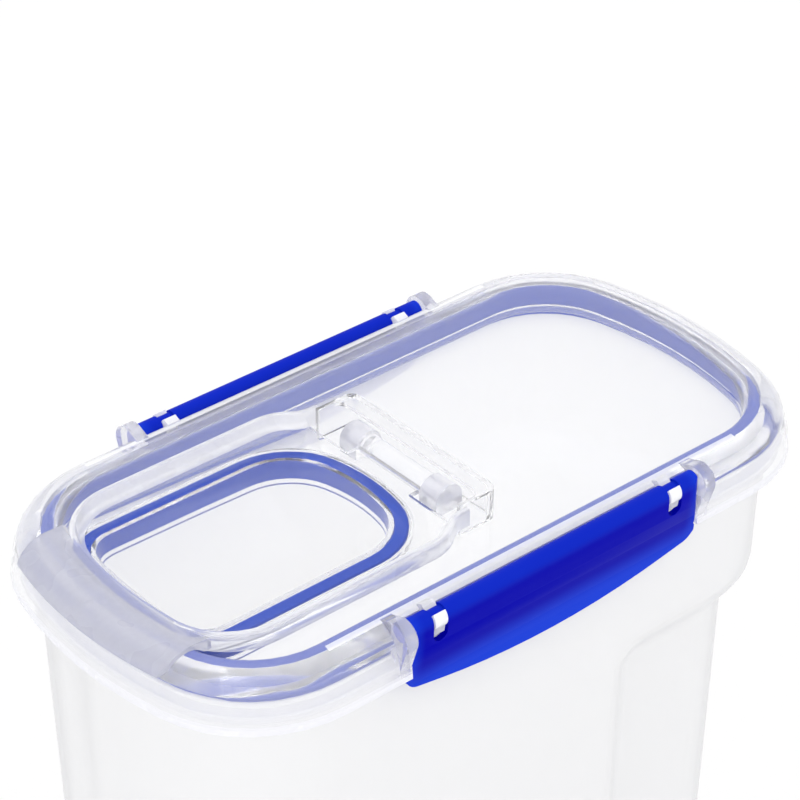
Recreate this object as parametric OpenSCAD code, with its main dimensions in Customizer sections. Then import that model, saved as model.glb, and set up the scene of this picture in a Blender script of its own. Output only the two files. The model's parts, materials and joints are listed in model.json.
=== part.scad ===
// Cereal container with a clipped lid and a flip-up pouring flap, in millimetres.
// +Z is up, +X runs from the pouring end to the grip end, and the origin is the
// centre of the outline at the level of the surface that the container stands on.

/* [Overall] */
// Length over the lid's skirt
lid_l = 237; // [200:1:290]
// Width over the lid's skirt
lid_w = 126.4; // [105:0.2:156]
// Height from the foot to the top of the hinge housing
total_h = 240; // [190:1:300]
// Radius of the four corners, at the skirt's edge
corner_r = 40; // [30:1:46]
// Radius of the bowed short ends, at the skirt's edge
end_bow_r = 140; // [110:1:220]

/* [Tub] */
// Wall thickness of the tub
tub_wall = 1.8; // [1.2:0.1:2.6]
// Draft of the tub's walls, in degrees
tub_draft = 1.3; // [0.5:0.1:2]
// Distance from the skirt's edge in to the tub's wall, below the flange
tub_inset = 7.6; // [7:0.1:9]
// Depth of the hand grip that runs round the rear end
grip_depth = 8.2; // [4:0.1:10]
// Distance from the middle of the tub to the front edge of the grip
grip_x = 31; // [20:1:45]
// Length over which the wall draws in at the front edge of the grip
grip_run = 15; // [10:1:20]
// Distance from the lid's shoulder down to the top edge of the grip
grip_top = 52; // [40:1:70]
// Height over which the wall draws in at the top edge of the grip
grip_drop = 17; // [12:1:22]
// Thickness of the flange that the clips catch
flange_t = 2.5; // [2:0.1:3.4]

/* [Lid] */
// Depth of the skirt below the lid's shoulder
skirt_h = 13.3; // [12.6:0.1:17]
// Height of the rim's crown above the shoulder
crown_h = 3.4; // [2.8:0.1:4.2]
// Width of the rim from the skirt's edge to the inner wall
rim_w = 14.4; // [14:0.1:16]
// Wall thickness of the lid
lid_wall = 1.4; // [1.2:0.1:1.8]
// Depth of the panel below the shoulder
panel_drop = 4.5; // [4.2:0.1:5.2]
// Thickness of the panel
panel_t = 1.6; // [1.2:0.1:2.2]

/* [Pouring flap] */
// Gap between the lid's inner wall and the flap's long sides
flap_gap = 8.6; // [6:0.1:12]
// Width of the floor between the flap's outer side and its seal
flap_border = 8; // [7:0.1:10]
// Length of the flap seal
pour_l = 88.6; // [70:0.2:100]
// Height of the flap's rim and of the hinge housing above the shoulder
flap_top = 5.4; // [4.8:0.1:6]
// Thickness of the flap's rim
flap_rim_t = 2.1; // [1.6:0.1:2.6]
// Thickness of the flap's floor
floor_t = 1.6; // [1.2:0.1:2]
// Depth of the plug that goes into the pouring opening
plug_h = 7.2; // [5:0.1:8]
// Half of the width of the thumb tab
tab_half_w = 33; // [24:0.5:36]

/* [Flap hinge] */
// Distance from the flap seal's rear edge to the hinge axis
hinge_back = 10.3; // [9.8:0.1:14]
// Radius of the flap's hinge barrel
barrel_r = 3.8; // [3.2:0.1:3.8]
// Radius of the hinge pins
pin_r = 2; // [1.5:0.1:2.4]
// Running clearance of a pin in its bore
pin_gap = 0.05; // [0.03:0.01:0.1]
// Length of each hinge post along the axis
post_l = 7.5; // [6:0.1:9]

/* [Clips] */
// Length of a clip
clip_l = 106.4; // [90:0.2:120]
// Radius of the rod that a clip turns on
rod_r = 2.3; // [1.8:0.1:2.6]
// Radius of the rolled top edge of a clip
clip_roll_r = 3; // [2.8:0.1:3.2]
// Thickness of a clip's plate
clip_t = 2; // [1.6:0.1:2.4]
// Height of a clip below its axis, at its middle
clip_h = 25.3; // [22:0.1:28]
// Distance from the middle of a clip to each hook
hook_x = 43.8; // [34:0.1:48]
// Width of a hook
hook_w = 4.2; // [3.4:0.1:5]
// How far a clip's catch reaches under the flange
catch_grip = 1; // [0.6:0.1:1.4]

/* [Hidden] */
$fn = 48;

// Clearances
fit = 0.3;
seat = 0.4;
overlap = 0.2;

// Steps of the outlines' arcs
corner_n = 8;
bow_n = 6;

// Levels. The shoulder is the level of the rim's outer edge.
housing_top = flap_top + 0.2;
shoulder_z = total_h - housing_top;
panel_z = -panel_drop;
floor_top = 1.2;
floor_z = floor_top - floor_t;
bead_z = -4.2;
flange_z = -9.5;
tub_top_z = -6.5;

// Outlines as [front x, rear x, half width, front and rear corner radius,
// front and rear bow radius]
half_l = lid_l / 2;
half_w = lid_w / 2;
lid_shape = [-half_l, half_l, half_w, corner_r, corner_r, end_bow_r, end_bow_r];

flap_half_w = half_w - rim_w - flap_gap;
flap_front_x = -half_l + rim_w + seat;
pour_half_w = flap_half_w - flap_border;
pour_front_x = flap_front_x + fit;
pour_rear_x = pour_front_x + pour_l;
pour_front_r = 14.6;
pour_rear_r = min(23, pour_half_w - 4);
pour_shape = [pour_front_x, pour_rear_x, pour_half_w, pour_front_r, pour_rear_r, 175, 65];
seal_w = 4;
flap_front_r = 22;
flap_bow_r = 126;

// Hinge of the flap
hinge_x = pour_rear_x + hinge_back;
hinge_z = -0.3;
housing_half_w = pour_half_w - 0.2;
housing_rear_x = hinge_x + 9;
housing_front_x = hinge_x - 5.2;
housing_wall = 1.3;
housing_r = 3;
window_rear_x = hinge_x + 3.3;
post_r = 4.8;
post_out = housing_half_w - 10.5;
post_in = post_out - post_l;

// Distance in to the seal's outer face, which lies inside the tub's wall
seal_face = wall_off(shoulder_z + flange_z) + tub_wall + fit;

// Clips. Each turns on an axis just outside the rim.
clip_axis_y = half_w - 3;
clip_axis_z = 1;
bay_half_l = clip_l / 2 + seat;
bay_y = clip_axis_y - clip_roll_r - seat;
lug_t = 4;
lug_r = 5.2;
flange_out = clip_axis_y - 0.5;
catch_y = flange_out - catch_grip;
catch_gap = 0.9;
window_h = 3.9;
clip_spread = 1.3;

// Points of an arc about centre c
function arc_pts(c, r, a0, a1, n) =
    [for (i = [0:n]) let (a = a0 + (a1 - a0) * i / n) [c.x + r * cos(a), c.y + r * sin(a)]];

// One end of an outline, drawn in by off: corner, bowed end, corner
function end_pts(x1, b, r, bow, off) =
    let (k = sqrt(pow(bow - r, 2) - pow(b - r, 2)), xe = x1 - bow, th = atan2(b - r, k))
    concat(
        arc_pts([xe + k, r - b], r - off, -90, -th, corner_n),
        [for (i = [1:bow_n - 1]) let (a = -th + 2 * th * i / bow_n)
            [xe + (bow - off) * cos(a), (bow - off) * sin(a)]],
        arc_pts([xe + k, b - r], r - off, th, 90, corner_n));

// Whole outline, drawn in by off
function loop(s, off) =
    concat(
        end_pts(s[1], s[2], s[4], s[6], off),
        [for (p = end_pts(-s[0], s[2], s[3], s[5], off)) -p]);

// The same profile carried all round an outline. The profile is a list of
// [distance in from the outline, height], from the outer foot up and over.
module ring(s, profile) {
    n = len(loop(s, 0));
    m = len(profile);
    polyhedron(
        points = [for (p = profile) for (q = loop(s, p[0])) [q.x, q.y, p[1]]],
        faces = [for (j = [0:m - 1]) for (i = [0:n - 1])
            [j * n + i, (j + 1) % m * n + i, (j + 1) % m * n + (i + 1) % n, j * n + (i + 1) % n]],
        convexity = 8);
}

// A flat plate that fills an outline
module plate(s, off, z0, z1) {
    translate([0, 0, z0]) linear_extrude(z1 - z0) polygon(loop(s, off));
}

// The four places of a thing that repeats in both halves of both sides
module four_ways() {
    for (sx = [0, 1], sy = [0, 1]) mirror([sx, 0, 0]) mirror([0, sy, 0]) children();
}

// Tub

// Smooth step from 0 to 1
function blend(t) = let (u = max(0, min(1, t))) u * u * (3 - 2 * u);

// How far the tub's outer face lies in from the skirt's edge, at a height above the foot
function wall_off(z) = tub_inset + (shoulder_z - skirt_h - z) * tan(tub_draft);

// Extra draw-in of the hand grip at a place along the tub and a height
function grip(x, z) =
    grip_depth * blend((x - grip_x) / grip_run)
    * blend((shoulder_z - grip_top - z) / grip_drop);

// Stations along each long side of the tub, close together where the grip begins
side_front_x = -50;
grip_steps = 6;
function side_pts() =
    concat([side_front_x, 0], [for (i = [0:grip_steps]) grip_x + grip_run * i / grip_steps]);

// The tub's outline at a height, drawn in by off and by the grip
function tub_loop(off, z) =
    let (
        deep = off + grip_depth * blend((shoulder_z - grip_top - z) / grip_drop),
        rear = end_pts(half_l, half_w, corner_r, end_bow_r, deep),
        front = [for (p = end_pts(half_l, half_w, corner_r, end_bow_r, off)) -p],
        side = side_pts(), last = len(side) - 1)
    concat(
        rear,
        [for (i = [0:last]) let (x = side[last - i]) [x, half_w - off - grip(x, z)]],
        front,
        [for (x = side) [x, off + grip(x, z) - half_w]]);

// Levels of the tub's outer face from the foot up, as [distance in, height]
foot_w = 2.5;
foot_h = 1.2;
grip_levels = [for (i = [0:6]) shoulder_z - grip_top - grip_drop * (1 - i / 6)];
function outer_levels() =
    concat(
        [[9, foot_h], [7.5, 0], [7.5 - foot_w, 0], [1.9, 1.2], [0.5, 3.4], [0, 6.5]],
        [for (z = grip_levels) [0, z]]);
function inner_levels() =
    concat(
        [for (i = [6:-1:0]) [0, grip_levels[i]]],
        [[0, 8.4], [1.1, 5.2], [3.8, foot_h + tub_wall]]);

module tub() {
    top = shoulder_z + tub_top_z;
    fl = shoulder_z + flange_z;
    flange_in = half_w - flange_out;
    w = wall_off(fl);
    loops = concat(
        [for (p = outer_levels()) tub_loop3(wall_off(p[1]) + p[0], p[1])],
        [
            tub_loop3(w, fl - flange_t), tub_loop3(flange_in + 0.4, fl - flange_t),
            tub_loop3(flange_in, fl - flange_t + 0.4), tub_loop3(flange_in, fl - 0.4),
            tub_loop3(flange_in + 0.4, fl), tub_loop3(w, fl),
            tub_loop3(w, top - 0.4), tub_loop3(w + 0.4, top),
            tub_loop3(w + tub_wall - 0.4, top), tub_loop3(w + tub_wall, top - 0.4),
            tub_loop3(w + tub_wall, fl - flange_t)],
        [for (p = inner_levels()) tub_loop3(wall_off(p[1]) + tub_wall + p[0], p[1])]);
    color("whitesmoke") stacked(loops);
}

function tub_loop3(off, z) = [for (p = tub_loop(off, z)) [p.x, p.y, z]];

// Faces that close a loop in strips across it, between mirrored points
function cap(n, mid, first, up) =
    [for (i = [0:n / 2 - 1])
        let (
            a = (mid + i) % n, b = (mid + i + 1) % n,
            c = (mid - i - 1 + n) % n, d = (mid - i + n) % n,
            f = i == 0 ? [a, b, c] : i == n / 2 - 1 ? [a, b, d] : [a, b, c, d],
            k = len(f) - 1)
        [for (j = [0:k]) first + f[up ? k - j : j]]];

// A closed solid through a stack of loops, flat at its first and last loop
module stacked(loops) {
    n = len(loops[0]);
    m = len(loops);
    mid = corner_n + bow_n / 2;
    polyhedron(
        points = [for (l = loops) for (p = l) p],
        faces = concat(
            cap(n, mid, 0, false),
            [for (j = [0:m - 2]) for (i = [0:n - 1])
                [j * n + i, (j + 1) * n + i, (j + 1) * n + (i + 1) % n]],
            [for (j = [0:m - 2]) for (i = [0:n - 1])
                [j * n + i, (j + 1) * n + (i + 1) % n, j * n + (i + 1) % n]],
            cap(n, mid, (m - 1) * n, true)),
        convexity = 8);
}

// Lid

// Section of the rim: skirt, shoulder, crown and inner wall, then the groove that
// holds the seal, the bead's flat underside and the inside of the skirt
groove_top = crown_h - 1.8;
rim_profile = [
    [0, -skirt_h], [0.5, -9], [1.5, -5], [2.6, -1.8], [3.9, 0.2], [5.6, crown_h - 1.5],
    [7.6, crown_h - 0.4], [9.6, crown_h], [rim_w - 3, crown_h - 0.4], [rim_w - 1.6, crown_h - 1.4],
    [rim_w - 0.6, 0.8], [rim_w, -0.5], [rim_w, -8.3],
    [rim_w - lid_wall, -8.3], [rim_w - lid_wall, groove_top], [seal_face - fit, groove_top],
    [seal_face - fit, bead_z], [4.8, bead_z], [3.8, bead_z - 0.6], [2.7, -8.4], [1.7, -skirt_h]];

// Collar round the pouring opening
collar_t = 1.1;
collar_profile = [
    [-fit - collar_t, -6], [-fit - collar_t, floor_z - seat], [-fit - 0.3, floor_z - seat],
    [-fit, floor_z - seat - 0.3], [-fit, panel_z - panel_t - 1.2],
    [-fit - collar_t, panel_z - panel_t - 1.2]];

module lid() {
    color("gainsboro") translate([0, 0, shoulder_z]) {
        difference() {
            union() {
                difference() {
                    ring(lid_shape, rim_profile);
                    clip_bays();
                }
                lid_panel();
                lugs();
                hooks();
            }
            pin_bores();
        }
    }
}

module lid_panel() {
    difference() {
        plate(lid_shape, rim_w - 0.6, panel_z - panel_t, panel_z);
        plate(pour_shape, -fit, panel_z - panel_t - 1, panel_z + 1);
    }
    ring(pour_shape, collar_profile);
    hinge_housing();
}

// Room for the two clips, cut out of the rim's outer side
module clip_bays() {
    for (s = [0, 1]) mirror([0, s, 0])
        translate([-bay_half_l, bay_y, -skirt_h - 1])
            cube([2 * bay_half_l, half_w, skirt_h + 10]);
}

// Lug at each end of a bay, which shuts the cut end of the rim
module lugs() {
    four_ways() translate([bay_half_l, 0, 0]) rotate([90, 0, 90]) linear_extrude(lug_t)
        polygon(concat(
            [[half_w - 7.6, 2], [half_w - 9.2, crown_h - 0.2]],
            arc_pts([clip_axis_y, clip_axis_z - 1], lug_r, 125, -10, 12),
            [[half_w - 0.4, -9], [half_w, -skirt_h], [half_w - 2, -skirt_h],
                [half_w - 2.4, -8.6], [half_w - 5.4, -5]]));
}

// Hooks that carry the clips' rods, open at the top, each on a foot from the rim
module hooks() {
    jaw_r = rod_r + 1.1;
    root_y = -rod_r - 2.4;
    foot_z = -rod_r - 2.4;
    four_ways() translate([hook_x - hook_w / 2, clip_axis_y, clip_axis_z]) rotate([90, 0, 90])
        difference() {
            union() {
                cylinder(h = hook_w, r = jaw_r);
                linear_extrude(hook_w) polygon([
                    [root_y, foot_z + 0.8], [0, foot_z], [rod_r - 0.4, foot_z], [rod_r, -rod_r],
                    [-rod_r, 0], [-rod_r + 0.4, jaw_r - 0.9], [-rod_r - 0.4, jaw_r],
                    [root_y, jaw_r - 0.9]]);
            }
            translate([0, 0, -1]) cylinder(h = hook_w + 2, r = rod_r + pin_gap);
            translate([0, 0, -1]) linear_extrude(hook_w + 2)
                polygon([[0, 0], [6.6, 8], [-5.6, 8]]);
        }
}

// Housing that frames the flap's hinge, open towards the flap
module hinge_housing() {
    difference() {
        rounded_box(housing_front_x, housing_rear_x, housing_half_w, panel_z - 0.5, housing_top);
        rounded_box(
            housing_front_x - 5, housing_rear_x - housing_wall,
            housing_half_w - housing_wall, panel_z, housing_top - housing_wall);
        rounded_box(
            housing_front_x - 5, window_rear_x,
            housing_half_w - housing_wall, panel_z, housing_top + 1);
    }
    for (s = [0, 1]) mirror([0, s, 0]) hinge_post();
}

// Post beside the flap's barrel
module hinge_post() {
    translate([hinge_x, post_out, hinge_z]) rotate([90, 0, 0]) {
        cylinder(h = post_l, r = post_r);
        translate([-post_r, panel_z - hinge_z - 0.5, 0])
            cube([2 * post_r, hinge_z - panel_z + 0.5, post_l]);
    }
}

module pin_bores() {
    translate([hinge_x, post_out - 1.2, hinge_z]) rotate([90, 0, 0])
        cylinder(h = 2 * (post_out - 1.2), r = pin_r + pin_gap);
}

// Box with its rear corners rounded, from x0 to x1 and from z0 to z1
module rounded_box(x0, x1, b, z0, z1) {
    translate([0, 0, z0]) linear_extrude(z1 - z0) union() {
        translate([x0, -b]) square([x1 - x0 - housing_r, 2 * b]);
        translate([x0, housing_r - b]) square([x1 - x0, 2 * (b - housing_r)]);
        for (s = [-1, 1]) translate([x1 - housing_r, s * (b - housing_r)]) circle(housing_r);
    }
}

// Seal in the lid's groove. Its leg hangs inside the tub's wall, with three wiping ribs.
module lid_seal() {
    rib_pitch = 1.4;
    foot_z = -10.6;
    back = rim_w - lid_wall - fit;
    top = groove_top - fit;
    color("royalblue") translate([0, 0, shoulder_z]) ring(lid_shape, concat(
        [[seal_face + 1, foot_z]],
        [for (i = [0:2]) let (z = foot_z + 0.5 + i * rib_pitch) each
            [[seal_face, z], [seal_face, z + 0.5], [seal_face + 0.5, z + 0.7],
                [seal_face + 0.5, z + rib_pitch - 0.2]]],
        [[seal_face, foot_z + 0.5 + 3 * rib_pitch], [seal_face, top - 0.3],
            [seal_face + 0.3, top], [back - 0.3, top], [back, top - 0.3], [back, -8.3],
            [back - 0.9, foot_z]]));
}

// Flap

// Outline of the flap's rim: from the hinge, round the pouring end and back
rim_end_y = housing_half_w + fit + flap_rim_t;
rim_end_x = housing_front_x + 1.5;
lead = 2;
sweep_run = 16;
sweep_rise = flap_half_w - rim_end_y;
sweep_a = 2 * atan(sweep_rise / sweep_run);
sweep_r = sweep_run / sin(sweep_a);
hollow_r = sweep_r / 3;
round_r = sweep_r - hollow_r;

function flap_half(off) =
    let (
        front = end_pts(-flap_front_x, flap_half_w, flap_front_r, flap_bow_r, off),
        mid = (len(front) - 1) / 2)
    concat(
        [[rim_end_x, rim_end_y - off]],
        arc_pts([rim_end_x - lead, rim_end_y + hollow_r], hollow_r + off, -90, -90 - sweep_a, 4),
        arc_pts([rim_end_x - lead - sweep_run, flap_half_w - round_r], round_r - off,
            90 - sweep_a * 0.8, 90, 4),
        [for (i = [len(front) - 1:-1:mid]) [-front[i].x, front[i].y]]);

function flap_edge(off) =
    let (h = flap_half(off), n = len(h))
    concat(h, [for (i = [n - 2:-1:0]) [h[i].x, -h[i].y]]);

// Section of the flap's rim, hollow-rounded down to the floor
flap_profile = [
    [0, floor_z], [0, flap_top - 1], [0.3, flap_top - 0.3], [flap_rim_t / 2, flap_top],
    [flap_rim_t - 0.3, flap_top - 0.3], [flap_rim_t, flap_top - 1], [flap_rim_t + 0.3, 2.8],
    [flap_rim_t + 1, 1.8], [flap_rim_t + 2.2, floor_top], [flap_rim_t + 2.2, floor_z]];

module flap_rim() {
    n = len(flap_edge(0));
    m = len(flap_profile);
    polyhedron(
        points = [for (p = flap_profile) for (q = flap_edge(p[0])) [q.x, q.y, p[1]]],
        faces = concat(
            [for (j = [0:m - 1]) for (i = [0:n - 2])
                [j * n + i, (j + 1) % m * n + i, (j + 1) % m * n + i + 1, j * n + i + 1]],
            [[for (j = [0:m - 1]) (m - j) % m * n], [for (j = [0:m - 1]) j * n + n - 1]]),
        convexity = 8);
}

// Section of the thumb tab, which lies over the lid's rim and ends in a free lip
tab_profile = [
    [0.5, -0.4], [2.4, 0.5], [4.2, 1.9], [5.4, 2.9], [7, crown_h + 0.1], [9.6, crown_h + 0.5],
    [rim_w - 2.8, crown_h + 0.1], [rim_w - 1.2, crown_h - 0.9], [rim_w - 0.3, 1.6],
    [rim_w + 0.6, 1.2], [rim_w + 2.4, 1.4], [rim_w + 2.2, flap_top - 1.2],
    [rim_w + 1, flap_top - 0.3], [9.6, flap_top - 0.1], [7, flap_top - 0.5], [4.4, 3.7],
    [2.4, 2.4], [0.9, 1.1], [0.2, 0.3], [0.2, -0.2]];

module thumb_tab() {
    round_out = 10;
    centre_x = end_bow_r - half_l;
    sweep = atan2(tab_half_w + 4, end_bow_r - rim_w);
    intersection() {
        translate([centre_x, 0, 0]) rotate([0, 0, 180 - sweep])
            rotate_extrude(angle = 2 * sweep, $fn = 180)
                polygon([for (p = tab_profile) [end_bow_r - p[0], p[1]]]);
        translate([0, 0, -10]) linear_extrude(30) union() {
            translate([-half_l - 2, round_out - tab_half_w])
                square([rim_w + 10, 2 * (tab_half_w - round_out)]);
            translate([-half_l + 7.6, -tab_half_w]) square([rim_w, 2 * tab_half_w]);
            for (s = [-1, 1])
                translate([-half_l + 8.6, s * (tab_half_w - round_out)]) circle(round_out);
        }
    }
}

module flap() {
    rear = housing_front_x - 3.1;
    clear_y = housing_half_w + fit;
    barrel_half = post_in - fit;
    color("lightgray") translate([0, 0, shoulder_z]) {
        difference() {
            union() {
                flap_rim();
                translate([0, 0, floor_z]) linear_extrude(floor_t) polygon(flap_edge(1));
            }
            translate([rear, -clear_y, -20]) cube([40, 2 * clear_y, 40]);
        }
        ring(pour_shape, [
            [seal_w + 0.25, -plug_h - 0.4], [seal_w + 0.25, floor_z + overlap],
            [seal_w + 1.7, floor_z + overlap], [seal_w + 1.7, -plug_h - 0.4]]);
        thumb_tab();
        translate([hinge_x, barrel_half, hinge_z]) rotate([90, 0, 0])
            cylinder(h = 2 * barrel_half, r = barrel_r);
        translate([rear - 1, -barrel_half, floor_z])
            cube([hinge_x - rear + 1, 2 * barrel_half, floor_t]);
        translate([hinge_x, post_out - 1.5, hinge_z]) rotate([90, 0, 0])
            cylinder(h = 2 * (post_out - 1.5), r = pin_r);
    }
}

// Seal round the flap's plug
module flap_seal() {
    top = floor_z - fit;
    color("royalblue") translate([0, 0, shoulder_z]) ring(pour_shape, [
        [0.9, -plug_h + 0.8], [0.5, -plug_h + 1.2], [0.3, -3.8], [0, -3], [0, top - 0.5],
        [0.5, top], [seal_w, top], [seal_w, -plug_h + 0.8]]);
}

// Clips

// Section of a clip's plate, as [distance out from the axis, height above the axis].
// The plate leans in towards the tub, and straightens near its lower edge.
clip_face = [
    [3, 0], [3, -3], [2.75, -7], [2.3, -11], [1.6, -15], [1, -18.5], [0.7, -21.5], [0.7, -32]];

module clip_section() {
    polygon(concat(
        clip_face,
        [for (i = [len(clip_face) - 1:-1:1]) clip_face[i] - [clip_t, 0]],
        [[0, 0]]));
}

// Front view of a clip: bowed lower edge, and lower corners that spread below the skirt
module clip_outline() {
    half = clip_l / 2;
    wide = half + clip_spread;
    drop = 6.1;
    bow = (wide * wide + drop * drop) / (2 * drop);
    r = 5.5;
    a = asin((wide - r) / (bow - r));
    low = bow - clip_h;
    cz = low - (bow - r) * cos(a);
    spread_z = clip_axis_z + skirt_h + 1.1;
    turn = asin((spread_z + cz) / r);
    polygon(concat(
        [[half, 10], [half, 0.6 - spread_z]],
        arc_pts([wide - r, cz], r, -turn, a - 90, 6),
        arc_pts([0, low], bow, a - 90, -90 - a, 12),
        arc_pts([r - wide, cz], r, -90 - a, turn - 180, 6),
        [[-half, 0.6 - spread_z], [-half, 10]]));
}

// Plan of a clip, with its outer corners rounded
module clip_plan() {
    wide = clip_l / 2 + clip_spread;
    r = 3.6;
    polygon(concat(
        [[-wide, -10], [wide, -10]],
        arc_pts([wide - r, clip_roll_r - r], r, 0, 90, 5),
        arc_pts([r - wide, clip_roll_r - r], r, 90, 180, 5)));
}

// A clip about its axis, with its outer face towards +Y
module clip_body() {
    slot_half = hook_w / 2 + seat;
    difference() {
        union() {
            intersection() {
                rotate([90, 0, 90]) translate([0, 0, -clip_l]) linear_extrude(2 * clip_l) {
                    clip_section();
                    circle(clip_roll_r);
                }
                rotate([90, 0, 0]) translate([0, 0, -20])
                    linear_extrude(40) clip_outline();
                translate([0, 0, -40]) linear_extrude(60) clip_plan();
            }
            clip_catch();
        }
        for (s = [-1, 1]) translate([s * hook_x, 0, 0]) {
            rotate([0, 90, 0]) translate([0, 0, -slot_half]) difference() {
                cylinder(h = 2 * slot_half, r = rod_r + 2);
                translate([0, 0, -1]) cylinder(h = 2 * slot_half + 2, r = rod_r);
            }
            clip_window(slot_half);
        }
    }
}

// Rounded window in the plate below a hook
module clip_window(half) {
    rotate([90, 0, 0]) translate([0, 0, -20]) linear_extrude(40) {
        translate([-half, -window_h]) square([2 * half, window_h - 2]);
        translate([0, -window_h]) circle(half);
    }
}

// Ridge inside the plate that catches under the tub's flange
module clip_catch() {
    top = flange_z - flange_t - catch_gap - clip_axis_z;
    tip = catch_y - clip_axis_y;
    half = clip_l / 2 - 17;
    rotate([90, 0, 90]) translate([0, 0, -half]) linear_extrude(2 * half)
        polygon([
            [tip + 0.3, top], [tip, top - 0.3], [tip, top - 0.9], [0.6, top - 3.4],
            [1.2, top - 1], [1.2, top]]);
}

module clip_front() {
    color("mediumblue") translate([0, -clip_axis_y, shoulder_z + clip_axis_z])
        mirror([0, 1, 0]) clip_body();
}

module clip_back() {
    color("mediumblue") translate([0, clip_axis_y, shoulder_z + clip_axis_z]) clip_body();
}

tub();
lid();
lid_seal();
flap();
flap_seal();
clip_front();
clip_back();
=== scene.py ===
"""Cereal container with a clipped lid and a flip-up pouring flap.

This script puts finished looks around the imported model. Every piece is in metres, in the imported
model's own frame: +Z up, +X towards the grip end, the foot at Z = 0.
"""

import json
import math
import bpy
from mathutils import Matrix, Vector
from mathutils.bvhtree import BVHTree

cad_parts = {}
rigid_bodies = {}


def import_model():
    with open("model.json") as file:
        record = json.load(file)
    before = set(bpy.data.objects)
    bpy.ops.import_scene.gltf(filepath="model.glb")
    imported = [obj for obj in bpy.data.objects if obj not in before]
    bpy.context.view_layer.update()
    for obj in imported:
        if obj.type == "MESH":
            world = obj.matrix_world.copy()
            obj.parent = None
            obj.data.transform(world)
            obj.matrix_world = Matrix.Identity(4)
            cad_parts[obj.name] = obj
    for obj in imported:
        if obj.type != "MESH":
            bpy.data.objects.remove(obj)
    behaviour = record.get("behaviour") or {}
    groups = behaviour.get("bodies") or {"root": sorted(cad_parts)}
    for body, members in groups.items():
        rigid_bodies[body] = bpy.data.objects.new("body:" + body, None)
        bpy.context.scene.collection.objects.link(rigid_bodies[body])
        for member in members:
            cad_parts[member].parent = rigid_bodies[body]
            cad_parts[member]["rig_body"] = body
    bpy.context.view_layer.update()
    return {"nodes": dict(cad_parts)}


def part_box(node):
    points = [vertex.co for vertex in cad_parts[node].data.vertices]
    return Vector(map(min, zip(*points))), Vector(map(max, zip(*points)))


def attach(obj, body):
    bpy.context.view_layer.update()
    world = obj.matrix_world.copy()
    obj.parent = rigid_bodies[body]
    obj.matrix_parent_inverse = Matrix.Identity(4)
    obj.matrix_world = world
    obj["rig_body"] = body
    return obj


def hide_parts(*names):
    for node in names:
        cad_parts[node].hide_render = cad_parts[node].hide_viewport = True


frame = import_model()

bl_info = {
    "name": "Flip-Flap Cereal Container",
    "version": (1, 0, 0),
    "blender": (4, 5, 0),
    "location": "3D View > Sidebar > Container",
    "description": "Finishes and stages a clip-lid food container with a flip-up pouring flap",
    "category": "Object",
}

# The lid's outline has straight sides, bowed ends and round corners, which begin at a share of
# the slope to their centre. The half width is read beyond the hooks, which stand out past it.
HOOKS_END = 0.06
HALF_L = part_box("lid")[1][0]
HALF_W = max(v.co.y for v in frame["nodes"]["lid"].data.vertices if v.co.x > HOOKS_END)
CORNER_R = 0.04
BOW_R = 0.14
CORNER_SHARE = 0.9

# Heights are taken from the lid's shoulder, a little below the top of its seal.
SEAL_ABOVE_SHOULDER = 0.0013
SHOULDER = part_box("lid_seal")[1][2] - SEAL_ABOVE_SHOULDER

# Regions of the lid: distances in from the outline, places along and across, and drops below
# the shoulder. The housing's edge is above it.
RIM_WIDTH = 0.0147
SKIRT_EDGE = 0.0116
LUG_X = (0.053, 0.0585)
LUG_Y = 0.05
BAY_X = 0.0535
BAY_Y = 0.0545
HINGE_X = -0.0045
POST_HALF_X = 0.0052
POST_Y = (0.0165, 0.0265)
POST_DROP = 0.0045
HOUSING_DROP = 0.004
HOUSING_EDGE = (-0.00558, -0.0053)

# Regions of the flap, with rises above the shoulder.
TAB_WIDTH = 0.0156
BARREL_R = 0.0045
FLAP_RIM_RISE = 0.0014
FLAP_FLOOR_RISE = -0.0008

# How each region of the clear plastic looks: its softness, which is haze and blur, and its
# shade, which is 0 for white haze, 1 for the grey fog tint and 2 for the thumb tab's tint.
# The grey and lilac tints are painted shade. White haze on the skirt's lower edge and the clip
# bays is painted light, and the housing's edge gets a painted shade line.
LOOKS = {
    # Painted light: white haze over the skirt's lower edge.
    "skirt_edge_painted_light": (1.9, 0.5),
    "lug": (0.8, 0.9),
    # Painted light: white haze over the clip bays.
    "clip_bay_painted_light": (1.7, 0.05),
    "rim": (0.42, 0.55),
    # Painted shade: a dark line along the housing's edge.
    "housing_edge_painted_shade": (1.9, 2.0),
    "hinge_post": (1.0, 0.85),
    "housing": (0.12, 0.0),
    "panel": (0.2, 0.0),
    "thumb_tab": (1.65, 2.0),
    "barrel": (0.6, 0.3),
    "flap_rim": (1.1, 0.45),
    "flap_floor": (0.0, 0.0),
    "plug": (0.1, 0.0),
}
SOFT = "softness"
SHADE = "shade"
# Faces marked inside are painted lighter, as painted light inside the tub.
LIT_INSIDE = "inside"

# A thick wall of clear plastic looks soft wherever it is. It is measured from under its skin.
THIN_WALL = 0.0018
THICK_WALL = 0.0075
THICK_SOFTNESS = 0.6
SKIN = 0.00002
DEEPEST_WALL = 0.02

# The line in the middle of the tub that its inner faces look at.
MIDDLE_HALF_X = 0.055
MIDDLE_Z = (0.05, 0.2)

# The angle in degrees up to which a piece is shaded smooth, and the width of the rounding of
# its sharper edges.
ROUNDING = {
    "tub": (40, 0.0004),
    "clear": (35, 0.00025),
    "seal": (50, 0.00015),
    "clip": (30, 0.0004),
}
ROUNDING_STEPS = 2
MERGE_DISTANCE = 0.00001
FLAT_ANGLE = 0.5

# Noises, in features per metre.
NOISE_SCALE = {
    "flow": 60.0,
    "mist": 600.0,
    "tub_cloud": 25.0,
    "tub_grain": 1500.0,
    "clip_cloud": 40.0,
    "clip_grain": 2200.0,
    "seal_cloud": 50.0,
    "seal_skin": 1200.0,
    "paper": 3.0,
}

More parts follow.
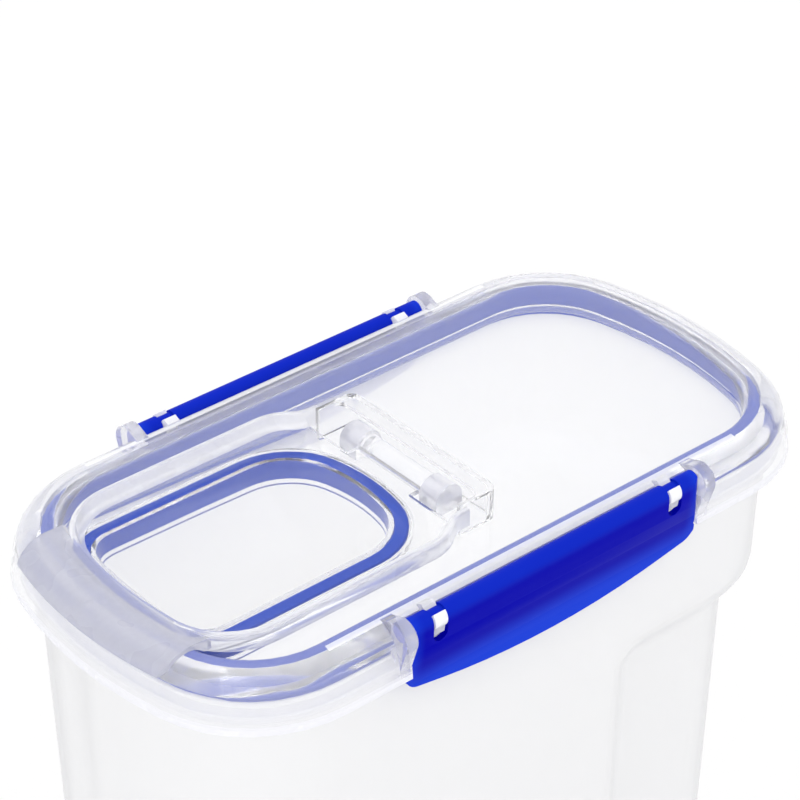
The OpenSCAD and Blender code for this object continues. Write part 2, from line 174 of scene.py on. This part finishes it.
# Bumps: their strength, and their height in metres.
BUMP = {
    "clear": (0.05, 0.0003),
    "tub": (0.06, 0.0002),
    "clip": (0.06, 0.0002),
    "seal": (0.1, 0.0002),
}

# Roughness: what a noise adds to it, and its least value.
ROUGHNESS = {
    "clear": (0.02, 0.015),
    "fog": (0.05, 0.25),
    "tub": (0.08, 0.34),
    "clip": (0.06, 0.3),
    "seal": (0.1, 0.42),
}
CLIP_GRAIN_ROUGHNESS = 0.05

# Reflection and refraction.
CLEAR_IOR = 1.42
PLASTIC_IOR = 1.49
CLEAR_SPECULAR = 0.25
CLIP_SPECULAR = 0.03
SEAL_SPECULAR = 0.1

# The clear plastic's mist and change of tint, and how often a ray may bend in it.
MIST_HAZE = 0.04
CLEAR_TINT_CHANGE = 0.02
SPENT_DEPTH = 5.5

# The tub's change of tint, and how much more it hides where it is seen edge on.
TUB_TINT_CHANGE = 0.015
EDGE_ON_BLEND = 0.4
EDGE_ON_COVER = 0.3

# The clip's blue is painted light at its lower edge and on its top, painted shade in its middle,
# and lighter towards its ends.
CLIP_LIT_EDGE = (0.2105, 0.2235)
CLIP_LIT_TOP = (0.2335, 0.237)
CLIP_ENDS = (0.0535, 0.0485)
CLIP_DEPTH_AT_ENDS = 0.4
CLIP_LIGHT_ON_TOP = 0.42
CLIP_CLOUD_CHANGE = 0.12

WHITE = (1, 1, 1, 1)
PAPER = ((0.86, 0.86, 0.865, 1), (0.88, 0.88, 0.885, 1))
PAPER_GLOW = 0.92
SKY_LIGHT = 1.12
SKY_MIRRORED = 0.55
SKY_SEEN = 1.0
LAMP_TARGET = (0, 0, 0.15)
LAMPS = (
    # name, place, width in metres, watts
    ("key", (-0.9, -0.7, 1.5), 0.9, 3.8),
    ("fill", (1.1, -0.9, 1.0), 1.0, 1.0),
    ("back", (0.3, 1.3, 1.2), 1.0, 1.5),
)
SENSOR_WIDTH = 36.0
CAMERA_REACH = 50.0


class Socket:
    """An output of a shader node, with arithmetic on single values."""

    def __init__(self, tree, link):
        self.tree, self.link = tree, link

    def _math(self, operation, first, second):
        return self.tree.add("ShaderNodeMath", {"operation": operation}, {0: first, 1: second})

    def __add__(self, other):
        return self._math("ADD", self, other)

    def __sub__(self, other):
        return self._math("SUBTRACT", self, other)

    def __rsub__(self, other):
        return self._math("SUBTRACT", other, self)

    def __mul__(self, other):
        return self._math("MULTIPLY", self, other)

    def __gt__(self, other):
        return self._math("GREATER_THAN", self, other)

    __radd__ = __add__
    __rmul__ = __mul__

    def clamp(self):
        """The value kept between 0 and 1."""
        return self.tree.add("ShaderNodeClamp", {}, {"Value": self})


class Finish:
    """The shader of a material or a world under construction, which close() ends."""

    def __init__(self, owner, output="ShaderNodeOutputMaterial"):
        self.owner, self.output = owner, output
        owner.use_nodes = True
        self.nodes, self.links = owner.node_tree.nodes, owner.node_tree.links
        self.nodes.clear()

    def add(self, kind, settings, inputs, output=0):
        """A node of this kind. Its settings are set first, then its sockets."""
        node = self.nodes.new(kind)
        for key, value in settings.items():
            setattr(node, key, value)
        for key, value in inputs.items():
            if isinstance(value, Socket):
                self.links.new(value.link, node.inputs[key])
            else:
                node.inputs[key].default_value = value
        return Socket(self, node.outputs[output])

    def place(self):
        """The piece's own coordinates."""
        return self.add("ShaderNodeTexCoord", {}, {}, "Object")

    def coordinate(self, axis):
        """The point's place along one of the piece's own axes, in metres."""
        return self.add("ShaderNodeSeparateXYZ", {}, {"Vector": self.place()}, axis)

    def noise(self, name, detail=2.0):
        """Soft noise at its named scale."""
        return self.add("ShaderNodeTexNoise", {"noise_dimensions": "3D"}, {
            "Vector": self.place(), "Scale": NOISE_SCALE[name], "Detail": detail})

    def attribute(self, name):
        """A value that each face of the piece carries."""
        return self.add("ShaderNodeAttribute", {"attribute_name": name}, {}, "Fac")

    def ray(self, kind):
        """1 for rays of this kind, and otherwise 0. For Ray Depth it is the depth."""
        return self.add("ShaderNodeLightPath", {}, {}, kind)

    def ramp(self, value, start, end):
        """0 at the start value and 1 at the end value, smooth between them."""
        return self.add("ShaderNodeMapRange", {"interpolation_type": "SMOOTHSTEP"}, {
            "Value": value, "From Min": start, "From Max": end})

    def blend(self, factor, first, second):
        """A colour between two, by a factor. Its colour sockets have numbers, not names."""
        inputs = {0: factor, 6: first, 7: second}
        return self.add("ShaderNodeMix", {"data_type": "RGBA"}, inputs, 2)

    def mix(self, factor, first, second):
        """A shader between two, by a factor."""
        return self.add("ShaderNodeMixShader", {}, {0: factor, 1: first, 2: second})

    def bump(self, height, strength, distance):
        """A normal raised by a height."""
        return self.add("ShaderNodeBump", {}, {
            "Height": height, "Strength": strength, "Distance": distance})

    def rough(self, name, noise):
        """The named roughness, which changes with a noise."""
        change, least = ROUGHNESS[name]
        return noise * change + least

    def principled(self, inputs):
        """One Principled shader."""
        return self.add("ShaderNodeBsdfPrincipled", {}, inputs)

    def close(self, shader):
        """Ends the construction with this shader."""
        output = self.nodes.new(self.output)
        self.links.new(shader.link, output.inputs["Surface"])
        return self.owner


def new_material(name):
    """The finish of a new material."""
    return Finish(bpy.data.materials.new(name))


def solid(colour):
    """A colour with its alpha."""
    return (*colour, 1)


def lighter(colour, amount):
    """The same colour a little lighter, with its alpha."""
    return (*[min(1, c + amount) for c in colour], 1)


def clear_plastic(colours):
    """Water-clear moulded plastic that bends light, cloudy where its faces are marked soft, with
    painted shade in its grey fogs.

    Shadow and diffuse rays pass straight through it, and so does a ray that bent too often.
    """
    f = new_material("clear_plastic")
    flow = f.noise("flow")
    mist = f.noise("mist", 3.0)
    soft = f.attribute(SOFT)
    shade = f.attribute(SHADE)
    haze = soft * colours.haze_soft + colours.haze_clear + mist * soft * MIST_HAZE
    shaded_fog_tint = solid(colours.shaded_fog_tint), lighter(colours.shaded_fog_tint, CLEAR_TINT_CHANGE)
    clear_tint = solid(colours.clear_tint), lighter(colours.clear_tint, CLEAR_TINT_CHANGE)
    # The grey fog and the tab's lilac tint are painted shade.
    milky = f.blend((shade - 1).clamp(), f.blend(flow, *shaded_fog_tint), solid(colours.shaded_tab_tint))
    normal = f.bump(flow, *BUMP["clear"])
    clear = f.principled({
        "Base Color": f.blend(flow, *clear_tint),
        "Roughness": soft * colours.blur_soft + f.rough("clear", flow),
        "IOR": CLEAR_IOR,
        "Specular IOR Level": CLEAR_SPECULAR,
        "Specular Tint": (CLEAR_SPECULAR, CLEAR_SPECULAR, CLEAR_SPECULAR, 1),
        "Transmission Weight": 1.0,
        "Normal": normal,
    })
    fog = f.principled({
        "Base Color": f.blend(shade.clamp(), solid(colours.fog_clear), milky),
        "Roughness": f.rough("fog", flow),
        "IOR": PLASTIC_IOR,
        "Normal": normal,
    })
    spent = f.ray("Ray Depth") > SPENT_DEPTH
    unseen = (f.ray("Is Shadow Ray") + f.ray("Is Diffuse Ray") + spent).clamp()
    open_air = f.add("ShaderNodeBsdfTransparent", {}, {})
    return f.close(f.mix(unseen * colours.clear_light, f.mix(haze, clear, fog), open_air))


def milky_plastic(colours):
    """Frosted plastic that hides what is behind it and glows softly with the light inside; its
    inner faces carry painted light.
    """
    f = new_material("milky_plastic")
    cloud = f.noise("tub_cloud", 3.0)
    grain = f.noise("tub_grain")
    edge_on = f.add("ShaderNodeLayerWeight", {}, {"Blend": EDGE_ON_BLEND}, "Facing")
    milky_tint = solid(colours.milky_tint), lighter(colours.milky_tint, TUB_TINT_CHANGE)
    unseen = (f.ray("Is Shadow Ray") + f.ray("Is Diffuse Ray")).clamp()
    cover = (1 - colours.milky_see_through + edge_on * EDGE_ON_COVER).clamp()
    return f.close(f.principled({
        # Inner faces get a much lighter colour: painted light inside the tub.
        "Base Color": f.blend(
            f.attribute(LIT_INSIDE), f.blend(cloud, *milky_tint), solid(colours.milky_lit_inside)),
        "Roughness": f.rough("tub", cloud),
        "IOR": PLASTIC_IOR,
        "Alpha": cover * (1 - unseen * colours.milky_light),
        "Normal": f.bump(grain, *BUMP["tub"]),
    }))


def blue_plastic(colours):
    """Blue plastic with painted shade in its middle, painted light at its lower edge and top, and
    lighter towards its ends.
    """
    f = new_material("blue_plastic")
    grain = f.noise("clip_grain")
    cloud = f.noise("clip_cloud")
    height, along = f.coordinate("Z"), f.coordinate("X")
    # The lower edge and the top are painted light, and the middle is painted shade. The cloud noise
    # adds random tone.
    rise = f.ramp(height, *CLIP_LIT_EDGE)
    ends = f.ramp(along * along, CLIP_ENDS[0] ** 2, CLIP_ENDS[1] ** 2)
    top = f.ramp(height, *CLIP_LIT_TOP)
    middle = ends * (1 - CLIP_DEPTH_AT_ENDS) + CLIP_DEPTH_AT_ENDS
    painted_shade_and_tone = rise * rise * middle * (1 - top * CLIP_LIGHT_ON_TOP)
    painted_shade_and_tone = painted_shade_and_tone + cloud * CLIP_CLOUD_CHANGE - CLIP_CLOUD_CHANGE / 2
    return f.close(f.principled({
        "Base Color": f.blend(painted_shade_and_tone.clamp(), solid(colours.clip_lit_blue), solid(colours.clip_shaded_blue)),
        "Roughness": f.rough("clip", cloud) + grain * CLIP_GRAIN_ROUGHNESS,
        "IOR": PLASTIC_IOR,
        "Specular IOR Level": CLIP_SPECULAR,
        "Normal": f.bump(grain, *BUMP["clip"]),
    }))


def seal_rubber(colours):
    """Blue silicone with a satin skin."""
    f = new_material("seal_rubber")
    skin = f.noise("seal_skin")
    cloud = f.noise("seal_cloud")
    return f.close(f.principled({
        "Base Color": f.blend(cloud, solid(colours.seal_dark), solid(colours.seal_light)),
        "Roughness": f.rough("seal", skin),
        "Specular IOR Level": SEAL_SPECULAR,
        "Normal": f.bump(skin, *BUMP["seal"]),
    }))


def smooth_copy(node, kind, cut=None):
    """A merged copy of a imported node, with its sharp edges rounded and the rest shaded smooth.

    A cut splits its faces at that height, so that a finish can change there.
    """
    angle, width = math.radians(ROUNDING[kind][0]), ROUNDING[kind][1]
    bpy.ops.object.select_all(action="DESELECT")
    copy = bpy.data.objects.new(node + "_moulding", frame["nodes"][node].data.copy())
    bpy.context.scene.collection.objects.link(copy)
    copy.data.materials.clear()
    bpy.context.view_layer.objects.active = copy
    copy.select_set(True)
    bpy.ops.object.mode_set(mode="EDIT")
    bpy.ops.mesh.select_all(action="SELECT")
    bpy.ops.mesh.remove_doubles(threshold=MERGE_DISTANCE)
    bpy.ops.mesh.dissolve_limited(angle_limit=math.radians(FLAT_ANGLE))
    if cut is not None:
        bpy.ops.mesh.select_all(action="SELECT")
        bpy.ops.mesh.bisect(plane_co=(0, 0, cut), plane_no=(0, 0, 1))
    bpy.ops.object.mode_set(mode="OBJECT")
    bpy.ops.object.shade_smooth_by_angle(angle=angle)
    bevel = copy.modifiers.new("edges", "BEVEL")
    bevel.width, bevel.segments = width, ROUNDING_STEPS
    bevel.limit_method, bevel.angle_limit = "ANGLE", angle
    bevel.use_clamp_overlap = True
    bevel.harden_normals = True
    bpy.ops.object.modifier_apply(modifier=bevel.name)
    return copy


def inset(point):
    """How far a point lies in from the outline of the lid, in metres."""
    x, y = abs(point.x), abs(point.y)
    across = HALF_W - CORNER_R
    along = HALF_L - BOW_R + math.sqrt((BOW_R - CORNER_R) ** 2 - across ** 2)
    if x > along and y > across * x / along * CORNER_SHARE:
        return CORNER_R - math.hypot(x - along, y - across)
    return min(HALF_W - y, BOW_R - math.hypot(x + BOW_R - HALF_L, y))


def lid_look(point):
    """Softness and shade of the lid: a cloudy rim, milky lugs and posts, and a clear panel.
    The skirt's lower edge and the clip bays get painted light, and the housing's edge a painted
    shade line.
    """
    x, y, drop = abs(point.x), abs(point.y), SHOULDER - point.z
    if inset(point) < RIM_WIDTH:
        # The skirt's lower edge and the clip bays get white haze as painted light.
        if drop > SKIRT_EDGE:
            return LOOKS["skirt_edge_painted_light"]
        if LUG_X[0] < x < LUG_X[1] and y > LUG_Y:
            return LOOKS["lug"]
        return LOOKS["clip_bay_painted_light" if x < BAY_X and y > BAY_Y else "rim"]
    # The housing's edge gets a dark line as painted shade.
    if HOUSING_EDGE[0] < drop < HOUSING_EDGE[1]:
        return LOOKS["housing_edge_painted_shade"]
    on_hinge = abs(point.x - HINGE_X) < POST_HALF_X
    if on_hinge and POST_Y[0] < y < POST_Y[1] and drop < POST_DROP:
        return LOOKS["hinge_post"]
    return LOOKS["housing" if drop < HOUSING_DROP else "panel"]


def flap_look(point):
    """Softness and shade of the flap: a milky thumb tab in a painted shade tint, a cloudy rim
    in grey fog that is painted shade, and a clear floor.
    """
    rise = point.z - SHOULDER
    if inset(point) < TAB_WIDTH:
        return LOOKS["thumb_tab"]
    if abs(point.x - HINGE_X) < BARREL_R:
        return LOOKS["barrel"]
    if rise > FLAP_RIM_RISE:
        return LOOKS["flap_rim"]
    return LOOKS["flap_floor" if rise > FLAP_FLOOR_RISE else "plug"]


def share_between(value, start, end):
    """0 up to the start value and 1 from the end value on."""
    return max(0.0, min(1.0, (value - start) / (end - start)))


def mark_soft(piece, look):
    """Stores the softness and shade of each face, softer where its wall is thick."""
    mesh = piece.data
    corners = [v.co for v in mesh.vertices]
    tree = BVHTree.FromPolygons(corners, [p.vertices[:] for p in mesh.polygons])
    softness = [0.0] * len(mesh.polygons)
    shade = [0.0] * len(mesh.polygons)
    for face in mesh.polygons:
        start = face.center - face.normal * SKIN
        hit, _, _, depth = tree.ray_cast(start, -face.normal, DEEPEST_WALL)
        thick = THICK_SOFTNESS * share_between(depth, THIN_WALL, THICK_WALL) if hit else 0.0
        soft, grey = look(face.center)
        softness[face.index], shade[face.index] = max(thick, soft), grey
    mesh.attributes.new(SOFT, "FLOAT", "FACE").data.foreach_set("value", softness)
    mesh.attributes.new(SHADE, "FLOAT", "FACE").data.foreach_set("value", shade)


def mark_lit_inside(piece):
    """Marks the faces of the tub that look at the space inside it, where painted light makes them
    lighter.
    """
    store = piece.data.attributes.new(LIT_INSIDE, "FLOAT", "FACE")
    for face in piece.data.polygons:
        at = face.center
        x = max(-MIDDLE_HALF_X, min(MIDDLE_HALF_X, at.x))
        z = max(MIDDLE_Z[0], min(MIDDLE_Z[1], at.z))
        store.data[face.index].value = float(face.normal.dot(Vector((x, 0, z)) - at) > 0)


def finish_piece(piece, node, material):
    """Gives a piece its finish and its body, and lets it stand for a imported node."""
    piece.data.materials.clear()
    piece.data.materials.append(material)
    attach(piece, frame["nodes"][node]["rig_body"])
    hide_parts(node)


class ContainerColours(bpy.types.PropertyGroup):
    """Colours and clearness of the four plastics."""

    clear_tint: bpy.props.FloatVectorProperty(
        name="Clear tint", description="Colour of the clear lid and flap",
        subtype="COLOR", size=3, min=0, max=1, default=(0.985, 0.985, 0.99))
    # The grey of this haze is painted shade, for the dark that thick clear plastic shows where it
    # bends light.
    shaded_fog_tint: bpy.props.FloatVectorProperty(
        name="Fog tint", description="Colour of the haze in the clear plastic",
        subtype="COLOR", size=3, min=0, max=1, default=(0.66, 0.66, 0.74))
    # This white haze is also laid as painted light on the skirt's lower edge and on the clip bays.
    fog_clear: bpy.props.FloatVectorProperty(
        name="Fog tint, clear", description="Colour of the faint haze in the clearest walls",
        subtype="COLOR", size=3, min=0, max=1, default=(0.985, 0.985, 0.99))
    # The tab's darker lilac is painted shade, tinted by the blue seal beneath it.
    shaded_tab_tint: bpy.props.FloatVectorProperty(
        name="Fog tint, tab", description="Colour of the milky thumb tab",
        subtype="COLOR", size=3, min=0, max=1, default=(0.465, 0.47, 0.56))
    haze_clear: bpy.props.FloatProperty(
        name="Haze, clear", description="Haze of the clearest walls",
        subtype="FACTOR", min=0, max=1, default=0.01)
    haze_soft: bpy.props.FloatProperty(
        name="Haze, soft", description="Haze added where the clear plastic looks soft",
        subtype="FACTOR", min=0, max=1, default=0.36)
    blur_soft: bpy.props.FloatProperty(
        name="Blur, soft", description="Roughness added where the clear plastic looks soft",
        subtype="FACTOR", min=0, max=1, default=0.12)
    clear_light: bpy.props.FloatProperty(
        name="Clear light", description="How much of the light passes the clear plastic unbent",
        subtype="FACTOR", min=0, max=1, default=0.97)
    milky_tint: bpy.props.FloatVectorProperty(
        name="Milky tint", description="Colour of the frosted tub",
        subtype="COLOR", size=3, min=0, max=1, default=(0.76, 0.76, 0.77))
    # This lighter colour of the tub's inner faces is painted light, not a different surface.
    milky_lit_inside: bpy.props.FloatVectorProperty(
        name="Milky tint, inside", description="Colour of the tub's smoother inner face",
        subtype="COLOR", size=3, min=0, max=1, default=(0.995, 0.995, 0.995))
    milky_see_through: bpy.props.FloatProperty(
        name="Milky see-through", description="How much can be seen through the frosted plastic",
        subtype="FACTOR", min=0, max=1, default=0.5)
    milky_light: bpy.props.FloatProperty(
        name="Milky light", description="How much more light than sight passes the tub",
        subtype="FACTOR", min=0, max=1, default=0.7)
    # The clips' dark and light blues are a shaded and a lit copy of one blue, for painted shade and
    # painted light.
    clip_shaded_blue: bpy.props.FloatVectorProperty(
        name="Clip blue, dark", description="Darker blue of the clips",
        subtype="COLOR", size=3, min=0, max=1, default=(0.0, 0.0002, 0.375))
    clip_lit_blue: bpy.props.FloatVectorProperty(
        name="Clip blue, light", description="Lighter blue of the clips",
        subtype="COLOR", size=3, min=0, max=1, default=(0.009, 0.046, 0.62))
    seal_dark: bpy.props.FloatVectorProperty(
        name="Seal blue, dark", description="Darker blue of the seals",
        subtype="COLOR", size=3, min=0, max=1, default=(0.0005, 0.042, 0.42))
    seal_light: bpy.props.FloatVectorProperty(
        name="Seal blue, light", description="Lighter blue of the seals",
        subtype="COLOR", size=3, min=0, max=1, default=(0.001, 0.055, 0.48))


class ContainerStage(bpy.types.PropertyGroup):
    """Camera and floor."""

    lens: bpy.props.FloatProperty(
        name="Lens", description="Focal length of the camera",
        subtype="DISTANCE_CAMERA", min=20, max=400, default=127.56)
    azimuth: bpy.props.FloatProperty(
        name="Azimuth", description="Turn of the camera from the front",
        subtype="ANGLE", default=math.radians(-40.309))
    elevation: bpy.props.FloatProperty(
        name="Elevation", description="Height angle of the camera",
        subtype="ANGLE", default=math.radians(33.673))
    roll: bpy.props.FloatProperty(
        name="Roll", description="Roll of the camera",
        subtype="ANGLE", default=math.radians(-0.044))
    distance: bpy.props.FloatProperty(
        name="Distance", description="Distance from the camera to its target",
        subtype="DISTANCE", unit="LENGTH", default=0.8416)
    target: bpy.props.FloatVectorProperty(
        name="Target", description="Point that the camera looks at",
        subtype="XYZ", unit="LENGTH", size=3, default=(0.01742, 0.0258, 0.2344))
    floor_size: bpy.props.FloatProperty(
        name="Floor size", description="Width of the floor",
        subtype="DISTANCE", unit="LENGTH", min=1, default=8.0)


class CONTAINER_OT_tub(bpy.types.Operator):
    """Finish the frosted tub"""

    bl_idname = "container.tub"
    bl_label = "Tub"

    def execute(self, context):
        tub = smooth_copy("tub", "tub")
        mark_lit_inside(tub)
        material = milky_plastic(context.scene.container_colours)
        finish_piece(tub, "tub", material)
        return {"FINISHED"}


class CONTAINER_OT_lid(bpy.types.Operator):
    """Finish the clear lid and the clear flap"""

    bl_idname = "container.lid"
    bl_label = "Lid and flap"

    def execute(self, context):
        material = clear_plastic(context.scene.container_colours)
        lid = smooth_copy("lid", "clear", SHOULDER - SKIRT_EDGE)
        mark_soft(lid, lid_look)
        finish_piece(lid, "lid", material)
        flap = smooth_copy("flap", "clear")
        mark_soft(flap, flap_look)
        finish_piece(flap, "flap", material)
        return {"FINISHED"}


class CONTAINER_OT_seals(bpy.types.Operator):
    """Finish the two seals"""

    bl_idname = "container.seals"
    bl_label = "Seals"

    def execute(self, context):
        material = seal_rubber(context.scene.container_colours)
        for node in ("lid_seal", "flap_seal"):
            finish_piece(smooth_copy(node, "seal"), node, material)
        return {"FINISHED"}


class CONTAINER_OT_clips(bpy.types.Operator):
    """Finish the two clips"""

    bl_idname = "container.clips"
    bl_label = "Clips"

    def execute(self, context):
        material = blue_plastic(context.scene.container_colours)
        for node in ("clip_front", "clip_back"):
            finish_piece(smooth_copy(node, "clip"), node, material)
        return {"FINISHED"}


class CONTAINER_OT_stage(bpy.types.Operator):
    """Set the floor, the lamps and the camera"""

    bl_idname = "container.stage"
    bl_label = "Stage"

    def execute(self, context):
        floor(context.scene.container_stage)
        world(context.scene)
        for name, place, width, watts in LAMPS:
            lamp(name, place, width, watts)
        camera(context.scene, context.scene.container_stage)
        return {"FINISHED"}


def floor(stage):
    """A large pale floor that looks white to sight and mirrors, and keeps the object's shadow."""
    bpy.ops.object.select_all(action="DESELECT")
    bpy.ops.mesh.primitive_plane_add(size=stage.floor_size, location=(0, 0, 0))
    plane = bpy.context.active_object
    plane.name = "floor"
    f = new_material("floor_paper")
    colour = f.blend(f.noise("paper"), *PAPER)
    diffuse = f.add("ShaderNodeBsdfDiffuse", {}, {"Color": colour})
    glow = f.add("ShaderNodeEmission", {}, {"Color": WHITE, "Strength": 1.0})
    seen = f.ray("Is Camera Ray") + f.ray("Is Glossy Ray") + f.ray("Is Transmission Ray")
    plane.data.materials.append(f.close(f.mix(seen.clamp() * PAPER_GLOW, diffuse, glow)))


def world(scene):
    """Soft even light from all round, seen as white and dimmer in mirrors."""
    scene.world = bpy.data.worlds.new("studio")
    f = Finish(scene.world, "ShaderNodeOutputWorld")
    light, mirrored, seen = (
        f.add("ShaderNodeBackground", {}, {"Color": WHITE, "Strength": strength})
        for strength in (SKY_LIGHT, SKY_MIRRORED, SKY_SEEN))
    unseen = f.mix(f.ray("Is Glossy Ray"), light, mirrored)
    sight = (f.ray("Is Camera Ray") + f.ray("Is Transmission Ray")).clamp()
    f.close(f.mix(sight, unseen, seen))


def lamp(name, place, width, watts):
    """A soft square lamp aimed at the container."""
    data = bpy.data.lights.new(name, "AREA")
    data.shape = "SQUARE"
    data.size, data.energy = width, watts
    item = bpy.data.objects.new(name, data)
    bpy.context.scene.collection.objects.link(item)
    item.location = place
    aim = Vector(LAMP_TARGET) - Vector(place)
    item.rotation_euler = aim.to_track_quat("-Z", "Y").to_euler()


def camera(scene, stage):
    """The camera at the photograph's angle."""
    az, el = stage.azimuth, stage.elevation
    back = Vector((math.sin(az) * math.cos(el), -math.cos(az) * math.cos(el), math.sin(el)))
    right = Vector((math.cos(az), math.sin(az), 0))
    turn = Matrix.Rotation(stage.roll, 3, back)
    right, up = turn @ right, turn @ back.cross(right)
    data = bpy.data.cameras.new("camera")
    data.lens, data.sensor_width = stage.lens, SENSOR_WIDTH
    data.sensor_fit = "HORIZONTAL"
    data.clip_end = CAMERA_REACH
    item = bpy.data.objects.new("camera", data)
    scene.collection.objects.link(item)
    place = Vector(stage.target) + back * stage.distance
    item.matrix_world = Matrix((
        (right.x, up.x, back.x, place.x),
        (right.y, up.y, back.y, place.y),
        (right.z, up.z, back.z, place.z),
        (0, 0, 0, 1)))
    scene.camera = item
    scene.view_settings.view_transform = "Standard"


class CONTAINER_PT_panel(bpy.types.Panel):
    """Lists the steps that build the container"""

    bl_label = "Container"
    bl_space_type = "VIEW_3D"
    bl_region_type = "UI"
    bl_category = "Container"

    def draw(self, context):
        for step in STEPS:
            self.layout.operator(step.bl_idname)


STEPS = (
    CONTAINER_OT_tub,
    CONTAINER_OT_lid,
    CONTAINER_OT_seals,
    CONTAINER_OT_clips,
    CONTAINER_OT_stage,
)
CLASSES = (ContainerColours, ContainerStage, *STEPS, CONTAINER_PT_panel)


def register():
    """Adds the classes and their settings."""
    for cls in CLASSES:
        bpy.utils.register_class(cls)
    bpy.types.Scene.container_colours = bpy.props.PointerProperty(type=ContainerColours)
    bpy.types.Scene.container_stage = bpy.props.PointerProperty(type=ContainerStage)


def unregister():
    """Takes the classes and their settings away."""
    del bpy.types.Scene.container_stage
    del bpy.types.Scene.container_colours
    for cls in reversed(CLASSES):
        bpy.utils.unregister_class(cls)


def main():
    """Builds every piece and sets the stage."""
    register()
    bpy.ops.container.tub()
    bpy.ops.container.lid()
    bpy.ops.container.seals()
    bpy.ops.container.clips()
    bpy.ops.container.stage()


if __name__ == "__main__":
    main()
